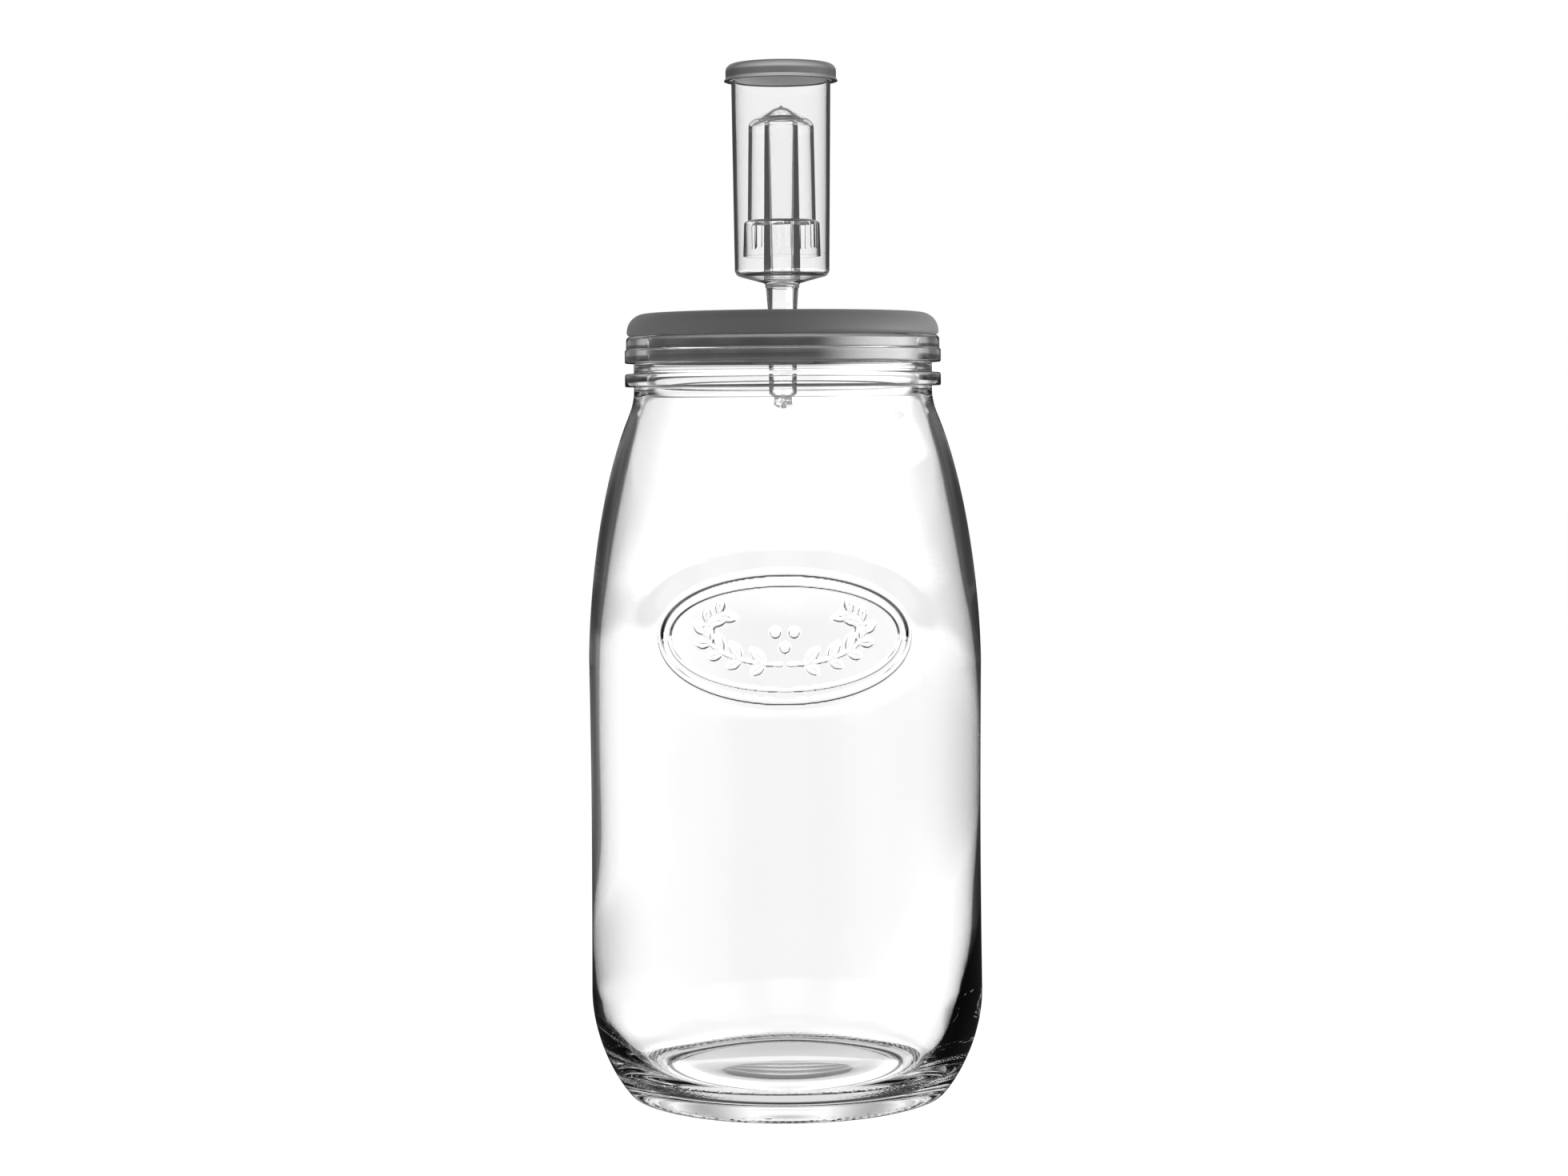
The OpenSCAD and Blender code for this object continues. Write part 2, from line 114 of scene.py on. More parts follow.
def ring_faces(low, high):
    """Quads between two rings of point numbers; a ring of one number is a pole and gives triangles."""
    if len(low) == 1:
        return np.stack([np.full(len(high), low[0]), np.roll(high, -1), high], 1)
    if len(high) == 1:
        return np.stack([low, np.roll(low, -1), np.full(len(low), high[0])], 1)
    return np.stack([low, np.roll(low, -1), np.roll(high, -1), high], 1)


def turned(points, angles, shift=None):
    """A profile turned round the Z axis: x = r cos a, y = r sin a, z = z, and shift(r, z, a) is added to r where r isn't 0."""
    rings, verts, count = [], [], 0
    r, z = points[:, 0][:, None], points[:, 1][:, None]
    a = angles[None, :]
    rr = np.maximum(r + (shift(r, z, a) if shift else 0), 0.02) + 0 * a
    grid = np.stack([rr * np.cos(a), rr * np.sin(a), z + 0 * a], 2)
    for k, (radius, height) in enumerate(points):
        on_axis = radius < 1e-6
        ring = np.array([[0, 0, height]]) if on_axis else grid[k]
        verts.append(ring)
        rings.append(np.arange(count, count + len(ring)))
        count += len(ring)
    return np.concatenate(verts), rings


def turned_piece(points, angles, closed, shift=None):
    """Points and faces of a whole turned piece; closed joins the last ring to the first."""
    verts, rings = turned(points, angles, shift)
    pairs = list(zip(rings, rings[1:])) + ([(rings[-1], rings[0])] if closed else [])
    return verts, [f for low, high in pairs for f in ring_faces(low, high).tolist()]


def even_angles(n):
    """n angles evenly spaced round the axis, the first at the front."""
    return FRONT + np.arange(n) * 2 * math.pi / n


# The jar

JAR_CELLS, FRONT_CELLS, FINE = 144, 34, 8
RELIEF_LOW, RELIEF_HIGH, RELIEF_MID, RELIEF_STEP = 139.0, 187.0, 163.0, 0.38


def jar_outside():
    """Under the base from the axis to the standing ring, up the heel, side and shoulder to the neck, over both beads."""
    slope_r = NECK_R + NECK_FLARE
    ring_in = FOOT_R - FOOT_W
    heel = bezier((FOOT_R, 0), (FOOT_R + 1, 0), (BODY_R, HEEL_H * 0.44), (BODY_R, HEEL_H), 34)
    rise = SHOULDER_Z - HEEL_H
    waist_r = BODY_R - WAIST * 1.4
    side = bezier((BODY_R, HEEL_H), (waist_r, HEEL_H + rise * 0.4), (waist_r, HEEL_H + rise * 0.6), (BODY_R, SHOULDER_Z), 36)
    sh = NECK_FOOT_Z - SHOULDER_Z
    shoulder = bezier((BODY_R, SHOULDER_Z), (BODY_R, SHOULDER_Z + sh * 0.18),
                      (slope_r + SHOULDER_SLOPE * sh / 3, NECK_FOOT_Z - sh / 3), (slope_r, NECK_FOOT_Z), 40)
    nh = NECK_TOP_Z - NECK_FOOT_Z
    neck = bezier((slope_r, NECK_FOOT_Z), (slope_r - SHOULDER_SLOPE * nh / 3, NECK_FOOT_Z + nh / 3),
                  (NECK_R, NECK_TOP_Z - nh * 0.4), (NECK_R, NECK_TOP_Z - 0.8), 10)
    under = bezier((ring_in - 16, PUSH_UP), (ring_in - 6, PUSH_UP), (ring_in - 2, 0), (ring_in, 0), 16)
    return outline(
        [(0, PUSH_UP)], under, heel, side, shoulder, neck,
        arc((NECK_R + 0.3, NECK_TOP_Z - 0.3), 0.3, 180, 90, 4),
        arc((BEAD_R - 0.5, NECK_TOP_Z + 0.5), 0.5, -90, 0, 6),
        arc((BEAD_R - 0.9, GROOVE_Z - 0.9), 0.9, 0, 90),
        arc((NECK_R + 0.5, GROOVE_Z + 0.5), 0.5, 270, 180, 5),
        arc((NECK_R + 0.5, BEAD_Z - 0.5), 0.5, 180, 90, 5),
        arc((BEAD_R - 0.5, BEAD_Z + 0.5), 0.5, -90, 0, 6),
        arc((BEAD_R - 0.6, STEP_Z - 0.6), 0.6, 0, 60, 4),
        arc((BEAD_R - RIM_STEP - 0.3, STEP_Z + 0.4), 0.3, -30, 0, 2),
        arc((BEAD_R - RIM_STEP - 1.6, RIM_Z - 1.6), 1.6, 0, 90),
        step=4)


def jar_inside():
    """From the rim down the mouth, neck and side and across the floor to the axis."""
    inner_r = NECK_R + NECK_FLARE - GLASS * math.hypot(1, SHOULDER_SLOPE)
    nh, sh = NECK_TOP_Z - NECK_FOOT_Z, NECK_FOOT_Z - SHOULDER_Z
    side_r = BODY_R - GLASS
    mouth = bezier((MOUTH_R, GROOVE_Z), (MOUTH_R, NECK_TOP_Z),
                   (inner_r - SHOULDER_SLOPE * nh * 0.4, NECK_FOOT_Z + nh * 0.4), (inner_r, NECK_FOOT_Z), 14)
    shoulder = bezier((side_r, SHOULDER_Z), (side_r, SHOULDER_Z + sh * 0.18),
                      (inner_r + SHOULDER_SLOPE * sh / 3, NECK_FOOT_Z - sh / 3), (inner_r, NECK_FOOT_Z), 34)[::-1]
    heel = bezier((FLOOR_EDGE_R, FLOOR_EDGE_Z), (FLOOR_EDGE_R + (side_r - FLOOR_EDGE_R) * 0.62, FLOOR_EDGE_Z),
                  (side_r, FLOOR_EDGE_Z + HEEL_H * 0.34), (side_r, HEEL_H + FLOOR_EDGE_Z * 0.5), 30)[::-1]
    floor = bezier((0, FLOOR_Z), (FLOOR_EDGE_R * 0.4, FLOOR_Z), (FLOOR_EDGE_R * 0.75, FLOOR_EDGE_Z),
                   (FLOOR_EDGE_R, FLOOR_EDGE_Z), 12)[::-1]
    return outline(arc((MOUTH_R + 1.2, RIM_Z - 1.2), 1.2, 90, 180), mouth, shoulder, heel, floor, step=4)


def smooth_step(x, low, high):
    """0 below low, 1 above high, and 3t^2 - 2t^3 between them."""
    t = np.clip((x - low) / (high - low), 0, 1)
    return t * t * (3 - 2 * t)


def ridge(distance, width, height):
    """A raised line: height times a rounded hump that falls to 0 at half its width from the line's middle."""
    t = np.clip(1 - (2 * distance / width) ** 2, 0, 1)
    return height * np.sqrt(t)


def oval_distance(u, v, a, b):
    """About how far (u, v) is from the oval u^2/a^2 + v^2/b^2 = 1: the value's excess over 1 divided by its slope."""
    k = np.hypot(u / a, v / b) + 1e-9
    slope = np.hypot(u / a**2, v / b**2) / k + 1e-9
    return np.abs(k - 1) / slope


def leaf(u, v, at, angle, length, width):
    """A leaf lying at a point and angle: a lens of two arcs, domed, with a groove along its middle."""
    c, s = math.cos(angle), math.sin(angle)
    along = ((u - at[0]) * c + (v - at[1]) * s) / length
    across = (-(u - at[0]) * s + (v - at[1]) * c) / (width / 2)
    edge = np.clip(1 - (2 * along - 1) ** 2, 0, 1)
    inside = np.clip(1 - (across / (edge + 1e-9)) ** 2, 0, 1) * (edge > 0)
    return np.sqrt(inside) * np.sqrt(edge) * (1 - 0.5 * np.exp(-(across * width / 2 / 0.28) ** 2))


def relief(u, v):
    """Height of the pressed ornament over the wall: two ovals, and two leafy sprigs that meet at the bottom."""
    h = ridge(oval_distance(u, v, 45.0, 21.0), 2.2, 0.85)
    h = np.maximum(h, ridge(oval_distance(u, v, 41.2, 17.2), 1.5, 0.6))
    side = np.abs(u)
    bend_a, bend_b = 27.0, 10.5
    h = np.maximum(h, ridge(oval_distance(side, v - 1.5, bend_a, bend_b), 1.3, 0.6) * (v < 7.0) * (side > 1.0))
    for i in range(7):
        t = math.radians(-76 + i * 18.0)
        at = (bend_a * math.cos(t), bend_b * math.sin(t) + 1.5)
        way = math.atan2(bend_b * math.cos(t), -bend_a * math.sin(t))
        for turn, long in ((0.72, 7.4), (-0.72, 6.2)):
            h = np.maximum(h, 0.8 * leaf(side, v, at, way + turn, long, 3.5))
    for du, dv in ((0, -3.4), (-3.1, 1.5), (3.1, 1.5)):
        h = np.maximum(h, 0.85 * np.sqrt(np.clip(1 - ((u - du) ** 2 + (v - dv) ** 2) / 3.6, 0, 1)))
    return h


def outer_shift(r, z, a):
    """The outer wall's own unevenness, and the ornament at the front: the wall dips under it so that it stays inside the model's box."""
    turn = np.arctan2(np.sin(a - FRONT), np.cos(a - FRONT))
    u, v = turn * BODY_R, z - RELIEF_MID
    on_wall = smooth_step(z, 6, 30) * (1 - smooth_step(z, 215, 240)) * (r > 40)
    wavy = 0.05 * (np.sin(2 * a + z / 31) + np.sin(3 * a - z / 23 + 1.1)) * on_wall - 0.1 * on_wall
    panel = 1 - smooth_step(np.hypot(u / 46.5, v / 23.0), 0.98, 1.25)
    front = (np.abs(u) < 47) & (np.abs(v) < 24)
    return wavy + np.where(front, relief(u, v), 0) - 0.86 * panel


def towards(a, at, width):
    """1 where the angle is at, falling off on both sides as a bell of the given width in radians."""
    return np.exp(-((np.arctan2(np.sin(a - at), np.cos(a - at)) / width) ** 2))


def bell_curve(z, at, width):
    """1 at the height at, falling off above and below it."""
    return np.exp(-(((z - at) / width) ** 2))


def inner_shift(r, z, a):
    """How unevenly the glass lies: thin at mid height at the right and low down at the left, then heavy at the bottom of both sides and most at the right, with slow waves."""
    right, left = towards(a, 0.0, 0.7), towards(a, math.pi, 0.6)
    shoulder = -0.25 * smooth_step(z, 158, 178) * (1 - smooth_step(z, 222, 240))
    thin = 1.6 * bell_curve(z, 118, 42) * right + (0.3 * bell_curve(z, 122, 30) + 1.2 * bell_curve(z, 52, 22)) * left
    waves = 0.12 * np.sin(2 * a + 0.9 + z / 47) + 0.08 * np.sin(3 * a - z / 29) + 0.05 * np.sin(5 * a + z / 19 + 2)
    waves = waves * smooth_step(z, 12, 45) * (1 - smooth_step(z, 205, 238))
    low = -3.8 * right * (1 - smooth_step(z, 12, 58)) - 2.4 * left * (1 - smooth_step(z, 10, 30))
    return shoulder + thin + waves + low * smooth_step(r, 18, 44)


def jar_mesh():
    """The jar's whole skin. Where the ornament is, the front cells of each ring are cut finer, and a row of many-sided faces joins the two kinds."""
    coarse = FRONT + (np.arange(JAR_CELLS) - FRONT_CELLS / 2) * 2 * math.pi / JAR_CELLS
    cell = 2 * math.pi / JAR_CELLS
    fine = np.concatenate([coarse[0] + np.arange(FRONT_CELLS * FINE) * cell / FINE, coarse[FRONT_CELLS:]])
    out, inside = jar_outside(), jar_inside()
    going_up = np.arange(len(out)) > np.argmax(out[:, 0] > FOOT_R)
    below = out[~(going_up & (out[:, 1] > RELIEF_LOW - 1))]
    above = out[going_up & (out[:, 1] > RELIEF_HIGH + 1)]
    band_z = np.arange(RELIEF_LOW, RELIEF_HIGH, RELIEF_STEP)
    wall = out[going_up]
    band = np.stack([np.interp(band_z, wall[:, 1], wall[:, 0]), band_z], 1)
    parts = [turned(below, coarse, outer_shift), turned(band, fine, outer_shift),
             turned(above, coarse, outer_shift), turned(inside, coarse, inner_shift)]
    verts, faces, rings, count = [], [], [], 0
    for v, r in parts:
        verts.append(v)
        rings.append([k + count for k in r])
        count += len(v)
    for group in (rings[0], rings[1], rings[2] + rings[3]):
        for low, high in zip(group, group[1:]):
            faces += ring_faces(low, high).tolist()
    split = np.arange(FRONT_CELLS)
    run = split[:, None] * FINE + np.arange(FINE, -1, -1)[None, :]
    rest = np.arange(FRONT_CELLS, JAR_CELLS)
    for plain, cut in ((rings[0][-1], rings[1][0]), (rings[2][0], rings[1][-1])):
        many = np.concatenate([plain[split][:, None], plain[split + 1][:, None], cut[run]], 1)
        far = FRONT_CELLS * FINE + rest - FRONT_CELLS
        quads = np.stack([plain[rest], plain[(rest + 1) % JAR_CELLS], cut[(far + 1) % len(cut)], cut[far]], 1)
        both = many.tolist() + quads.tolist()
        faces += both if plain is rings[0][-1] else [f[::-1] for f in both]
    return np.concatenate(verts), faces


# The lid

def lid_outline():
    """Rounded flange, plug ring with two sealing ribs, recess, boss and the hole for the stem."""
    def rib(z):
        return arc((PLUG_R, z), 0.8, 90, -90, 8)
    return outline(
        arc((STEM_R + 1.0, LID_TOP_Z - 0.8), 0.8, 180, 90, 5),
        arc((LID_R - 6.4, LID_TOP_Z - 6.4), 6.4, 90, 0, 22),
        arc((LID_R - 1.2, RIM_Z + 1.2), 1.2, 0, -90, 8),
        [(PLUG_R + 0.4, RIM_Z), (PLUG_R, RIM_Z - 0.4)],
        rib(PLUG_Z + 6.6), rib(PLUG_Z + 2.4),
        arc((PLUG_R - 1, PLUG_Z + 1), 1, 0, -90), arc((RECESS_R + 1, PLUG_Z + 1), 1, 270, 180),
        arc((RECESS_R - 1.5, RECESS_Z - 1.5), 1.5, 0, 90), arc((BOSS_R + 1.5, RECESS_Z - 1.5), 1.5, 90, 180),
        arc((BOSS_R - 1, PLUG_Z + 1), 1, 0, -90), [(5.05, PLUG_Z), (STEM_R + 0.2, LID_TOP_Z - 0.8)], step=1.5)


# The airlock

def body_outline():
    """Cup and stem outside, the bore back up to the tube's rim, and the cup's inside."""
    collar = 5.85
    return outline(
        [(CUP_R - 0.1, CUP_RIM_Z), (CUP_R, CUP_RIM_Z - 0.1)],
        arc((CUP_FLOOR_R - CORNER_R, CUP_FLOOR_Z), CORNER_R, 0, -62, 10),
        arc((collar + 1, CUP_BASE_Z - 0.3), 1, 105, 180, 6),
        arc((collar - 0.4, CUP_BASE_Z - 0.7), 0.4, 0, -80, 5),
        [(5.5, CUP_BASE_Z - 1.4), (STEM_R, LID_TOP_Z + 1.6), (STEM_R, LID_TOP_Z), (STEM_END_R, STEM_END_Z + 0.2),
         (STEM_END_R - 0.2, STEM_END_Z), (TIP_R, STEM_END_Z - 1.6), (TIP_R - 1, STEM_END_Z - 1.6),
         (3.7, STEM_END_Z + 1.2), (TUBE_BORE_R, TUBE_TOP_Z), (TUBE_R, TUBE_TOP_Z - 0.55)],
        arc((TUBE_FOOT_R + 0.8, CUP_BASE_Z + CUP_WALL + 1.45), 0.8, 180, 250, 5),
        arc((CUP_FLOOR_R - CORNER_R, CUP_FLOOR_Z), CORNER_R - CUP_WALL, -62, 0, 8),
        [(CUP_R - CUP_WALL, CUP_RIM_Z)], step=1.5)


def fins_mesh():
    """Two crossed fins: a plus-shaped outline whose reach follows a blunt point at the bottom and narrows at the top."""
    half = 0.65
    levels = np.array([[TIP_Z, 0.75], [TIP_Z + 0.35, 1.7], [TIP_Z + 1.5, TIP_R], [STEM_END_Z - 1.6, TIP_R - 0.2],
                       [STEM_END_Z, TIP_R - 0.6]])
    one = np.array([[1, -half], [1, half], [half, half]])
    verts = []
    for z, reach in levels:
        arm = np.where(one == 1, reach, one)
        arm[2] = half
        turns = [arm @ np.array([[math.cos(q), math.sin(q)], [-math.sin(q), math.cos(q)]])
                 for q in np.arange(4) * math.pi / 2]
        verts.append(np.column_stack([np.concatenate(turns), np.full(12, z)]))
    rings = [np.arange(12) + 12 * k for k in range(len(levels))]
    faces = [f for low, high in zip(rings, rings[1:]) for f in ring_faces(low, high).tolist()]
    return np.concatenate(verts), faces + [rings[0][::-1].tolist(), rings[-1].tolist()]


def bell_side(inset):
    """The bubbler's side from its tip to its lower edge, set in by inset for the inside."""
    crown_fall = CROWN_R * (1 - math.cos(math.radians(CONE_TILT)))
    crown_end = CROWN_R * math.sin(math.radians(CONE_TILT))
    cone_end = BELL_R - ELBOW_R * (1 - math.sin(math.radians(CONE_TILT)))
    cone_z = APEX_Z - crown_fall - (cone_end - crown_end) * math.tan(math.radians(CONE_TILT))
    elbow_z = cone_z - ELBOW_R * math.cos(math.radians(CONE_TILT))
    return outline(
        arc((0, APEX_Z - CROWN_R), CROWN_R - inset, 90, 90 - CONE_TILT, 10),
        arc((BELL_R - ELBOW_R, elbow_z), ELBOW_R - inset, 90 - CONE_TILT, 0, 12),
        [(BELL_END_R - inset, SKIRT_TOP_Z + 0.4 - inset * 0.6)],
        arc((SKIRT_R - 0.35 - 0.9, SKIRT_TOP_Z - 0.9), 0.9 - inset * 0.6, 80, 0, 6),
        [(SKIRT_R - inset, BELL_BOTTOM_Z)], step=1.2)


def with_levels(run, levels):
    """The run with its points between the first and last level replaced by points at exactly those levels."""
    falling = run[::-1]
    radii = np.interp(levels, falling[:, 1], falling[:, 0])
    new = np.stack([radii, levels], 1)[::-1]
    return np.vstack([run[run[:, 1] > levels[-1] + 0.02], new, run[run[:, 1] < levels[0] - 0.02]])


def bell_mesh():
    """The bubbler: its outside and inside as one skin, with the slot cells left out and walls put in round each slot."""
    levels = np.linspace(SLOT_LOW_Z, SLOT_HIGH_Z, 9)
    outside, inside = with_levels(bell_side(0), levels), with_levels(bell_side(BELL_WALL), levels)
    nib = np.array([(0, APEX_Z + 0.45), (0.36, APEX_Z + 0.45), (0.44, APEX_Z + 0.35), (0.62, APEX_Z - 0.02)])
    outside = np.vstack([nib, outside[outside[:, 0] > 0.75]])
    inside = np.vstack([[(0, APEX_Z - BELL_WALL)], inside[inside[:, 0] > 0.3]])
    half = SLOT_W / 2 / (SKIRT_R - 0.6)
    sector = 2 * math.pi / SLOTS
    inner = np.linspace(-half, half, 5)
    outer = np.linspace(half, sector - half, 15)[1:-1]
    base = np.concatenate([inner, outer])
    angles = math.radians(SLOT_TURN) + (np.arange(SLOTS)[:, None] * sector + base[None, :]).ravel()
    per = len(base)
    in_slot = (np.arange(len(angles)) % per) < 4
    v_out, r_out = turned(outside, angles)
    v_in, r_in = turned(inside, angles)
    r_in = [k + len(v_out) for k in r_in]
    faces = []
    runs = []
    for rings, points in ((r_out, outside), (r_in, inside)):
        rows = [k for k in range(len(points)) if SLOT_LOW_Z - 1e-6 <= points[k, 1] <= SLOT_HIGH_Z + 1e-6
                and points[k, 0] > BELL_R - 1]
        runs.append([rings[k] for k in rows])
        for k, (low, high) in enumerate(zip(rings, rings[1:])):
            quads = ring_faces(low, high)
            if k in rows and k + 1 in rows:
                quads = quads[~in_slot]
            faces += (quads if rings is r_out else quads[:, ::-1]).tolist()
    faces += ring_faces(r_out[-1], r_in[-1]).tolist()
    top_o, top_i, low_o, low_i = runs[0][0], runs[1][0], runs[0][-1], runs[1][-1]
    cells = np.nonzero(in_slot)[0]
    faces += np.stack([top_o[cells], top_o[cells + 1], top_i[cells + 1], top_i[cells]], 1).tolist()
    faces += np.stack([low_o[cells + 1], low_o[cells], low_i[cells], low_i[cells + 1]], 1).tolist()
    left = np.arange(SLOTS) * per
    for side, flip in ((left, True), (left + 4, False)):
        for (o1, o2), (i1, i2) in zip(zip(runs[0], runs[0][1:]), zip(runs[1], runs[1][1:])):
            quads = np.stack([o1[side], o2[side], i2[side], i1[side]], 1)
            faces += (quads[:, ::-1] if flip else quads).tolist()
    return np.concatenate([v_out, v_in]), faces


def cap_outline():
    """Top plate, rounded edge, short side, thin flared brim and the bore. Both faces of the plate have rings at the vents."""
    vent_rows = VENT_AT_R + VENT_CELL * np.arange(-2, 3)
    return outline(
        [(0, CAP_TOP_Z)], np.column_stack([vent_rows, np.full(5, CAP_TOP_Z)]), arc((CAP_R - CAP_EDGE_R, CAP_TOP_Z - CAP_EDGE_R), CAP_EDGE_R, 90, 0, 14),
        [(CAP_R, CAP_TOP_Z - CAP_EDGE_R - 0.3), (CAP_R, CAP_BOTTOM_Z + 1.2), (CAP_R, CAP_BOTTOM_Z + 0.9), (CAP_R + 0.5, CAP_BOTTOM_Z + 0.25), (CAP_R + 0.5, CAP_BOTTOM_Z),
         (CAP_BORE_R + 0.4, CAP_BOTTOM_Z), (CAP_BORE_R, CAP_BOTTOM_Z + 0.4), (CAP_BORE_R, CUP_RIM_Z)],
        np.column_stack([vent_rows[::-1], np.full(5, CUP_RIM_Z)]), [(0, CUP_RIM_Z)], step=9)


def cap_mesh():
    """The turned cap with a square patch of cells taken out of both faces at each vent, filled by quads that run from the patch's edge to the vent's round edge, and the vents' walls between them."""
    points, angles = cap_outline(), even_angles(144)
    verts, rings = turned(points, angles)
    at_vent = [k for k in range(len(points)) if abs(points[k, 0] - VENT_AT_R) < 2 * VENT_CELL + 0.01]
    upper, lower = at_vent[:5], at_vent[5:][::-1]
    cells = np.arange(len(angles))
    vent_cells = (cells - 51) % 36 < 6
    faces = []
    for k, (low, high) in enumerate(zip(rings, rings[1:])):
        quads = ring_faces(low, high)
        patched = (k in upper and k + 1 in upper) or (k in lower and k + 1 in lower)
        faces += (quads[~vent_cells] if patched else quads).tolist()
    count = len(verts)
    extra = []
    for corner in 51 + 36 * np.arange(4):
        across = (corner + np.arange(7)) % len(angles)
        loops = []
        for rows in (upper, lower):
            edge = np.concatenate([[rings[rows[0]][c] for c in across], [rings[k][across[-1]] for k in rows[1:-1]],
                                   [rings[rows[-1]][c] for c in across[::-1]], [rings[k][across[0]] for k in rows[-2:0:-1]]])
            middle = angles[across[3]]
            hub = np.array([VENT_AT_R * math.cos(middle), VENT_AT_R * math.sin(middle)])
            out = verts[edge, :2] - hub
            rim = hub + VENT_R * out / np.hypot(*out.T)[:, None]
            extra.append(np.column_stack([rim, verts[edge, 2]]))
            loops.append((edge, count + np.arange(len(edge))))
            count += len(edge)
        (top_edge, top_rim), (low_edge, low_rim) = loops
        for outer, inner in ((top_edge, top_rim), (top_rim, low_rim), (low_rim, low_edge)):
            faces += np.stack([outer, np.roll(outer, -1), np.roll(inner, -1), inner], 1).tolist()
    return np.concatenate([verts] + extra), faces


# Materials

def linear(code):
    """A colour written as sRGB hex, as the linear numbers that a shader takes."""
    srgb = np.array([int(code[i:i + 2], 16) / 255 for i in (1, 3, 5)])
    return (*np.where(srgb <= 0.04045, srgb / 12.92, ((srgb + 0.055) / 1.055) ** 2.4).tolist(), 1.0)


def add(tree, kind, links=None, values=None, stops=(), **settings):
    """Adds a node: settings are its properties, values its socket values, links the outputs that feed its sockets, and stops a ramp's places and grey levels."""
    node = tree.nodes.new(kind)
    for key, value in settings.items():
        setattr(node, key, value)
    for k, (place, level) in enumerate(stops):
        stop = node.color_ramp.elements[k] if k < 2 else node.color_ramp.elements.new(place)
        stop.position, stop.color = place, (level, level, level, 1)
    for key, value in (values or {}).items():
        node.inputs[key].default_value = value
    for key, source in (links or {}).items():
        tree.links.new(source, node.inputs[key])
    return node


def new_material(name):
    """An empty node material and its tree."""
    mat = bpy.data.materials.new(name)
    mat.use_nodes = True
    mat.node_tree.nodes.clear()
    return mat, mat.node_tree


def clear_material(name, ior, tint, wave_mm, wave_depth, stretch, painted_shade=None, dots_below=None):
    """A clear solid. Slow waves in its skin bend what is seen through it, and lamps reach through it to what is behind.
    Where a dark colour is given, the skin is frosted, and its colour goes from that to the tint in specks as large as
    its waves: painted shade that darkens the piece.
    Below the height dots_below, outside a radius of 48 mm, the skin has rows of small pressed dots."""
    mat, t = new_material(name)
    at = add(t, "ShaderNodeTexCoord").outputs["Object"]
    long = add(t, "ShaderNodeMapping", {"Vector": at}, {"Scale": (1, 1, stretch)}).outputs["Vector"]
    waves = add(t, "ShaderNodeTexNoise", {"Vector": long}, {"Scale": 1000 / wave_mm, "Detail": 2.0, "Roughness": 0.45})
    normal = add(t, "ShaderNodeBump", {"Height": waves.outputs["Fac"]}, {"Strength": 1.0, "Distance": wave_depth * MM}).outputs["Normal"]
    if dots_below:
        xyz = add(t, "ShaderNodeSeparateXYZ", {"Vector": at})
        level = add(t, "ShaderNodeVectorMath", {0: at}, {1: (1, 1, 0)}, operation="MULTIPLY").outputs[0]
        radius = add(t, "ShaderNodeVectorMath", {0: level}, operation="LENGTH").outputs["Value"]
        low = add(t, "ShaderNodeMath", {0: xyz.outputs["Z"]}, {1: dots_below * MM}, operation="LESS_THAN")
        wide = add(t, "ShaderNodeMath", {0: radius}, {1: 48 * MM}, operation="GREATER_THAN")
        there = add(t, "ShaderNodeMath", {0: low.outputs[0], 1: wide.outputs[0]}, operation="MULTIPLY")
        dot = add(t, "ShaderNodeTexVoronoi", {"Vector": at}, {"Scale": 1000 / 2.4, "Randomness": 0.25})
        dome = add(t, "ShaderNodeMapRange", {"Value": dot.outputs["Distance"]}, {"From Min": 0.15, "From Max": 0.45, "To Min": 1.0, "To Max": 0.0})
        dots = add(t, "ShaderNodeMath", {0: dome.outputs["Result"], 1: there.outputs[0]}, operation="MULTIPLY")
        normal = add(t, "ShaderNodeBump", {"Height": dots.outputs[0], "Normal": normal}, {"Strength": 1.0, "Distance": 0.1 * MM}).outputs["Normal"]
    solid = add(t, "ShaderNodeBsdfPrincipled", {"Normal": normal},
                {"Base Color": linear(tint), "IOR": ior, "Roughness": 0.0, "Transmission Weight": 1.0})
    # Painted shade: the specks mix a dark colour into the tint, darkening the piece in place of shade.
    if painted_shade:
        speck = add(t, "ShaderNodeMapRange", {"Value": waves.outputs["Fac"]}, {"From Min": 0.44, "From Max": 0.56})
        speckled_shade = add(t, "ShaderNodeMix", {"Factor": speck.outputs["Result"]}, data_type="RGBA")
        speckled_shade.inputs["A"].default_value, speckled_shade.inputs["B"].default_value = linear(painted_shade), linear(tint)
        t.links.new(speckled_shade.outputs["Result"], solid.inputs["Base Color"])
    path = add(t, "ShaderNodeLightPath")
    lamp_ray = add(t, "ShaderNodeMath", {0: path.outputs["Is Shadow Ray"], 1: path.outputs["Is Diffuse Ray"]}, operation="MAXIMUM")
    pass_on = add(t, "ShaderNodeBsdfTransparent", values={"Color": linear("#f2f2f2")})
    mix = add(t, "ShaderNodeMixShader", {0: lamp_ray.outputs[0], 1: solid.outputs[0], 2: pass_on.outputs[0]})
    add(t, "ShaderNodeOutputMaterial", {"Surface": mix.outputs[0]})
    return mat


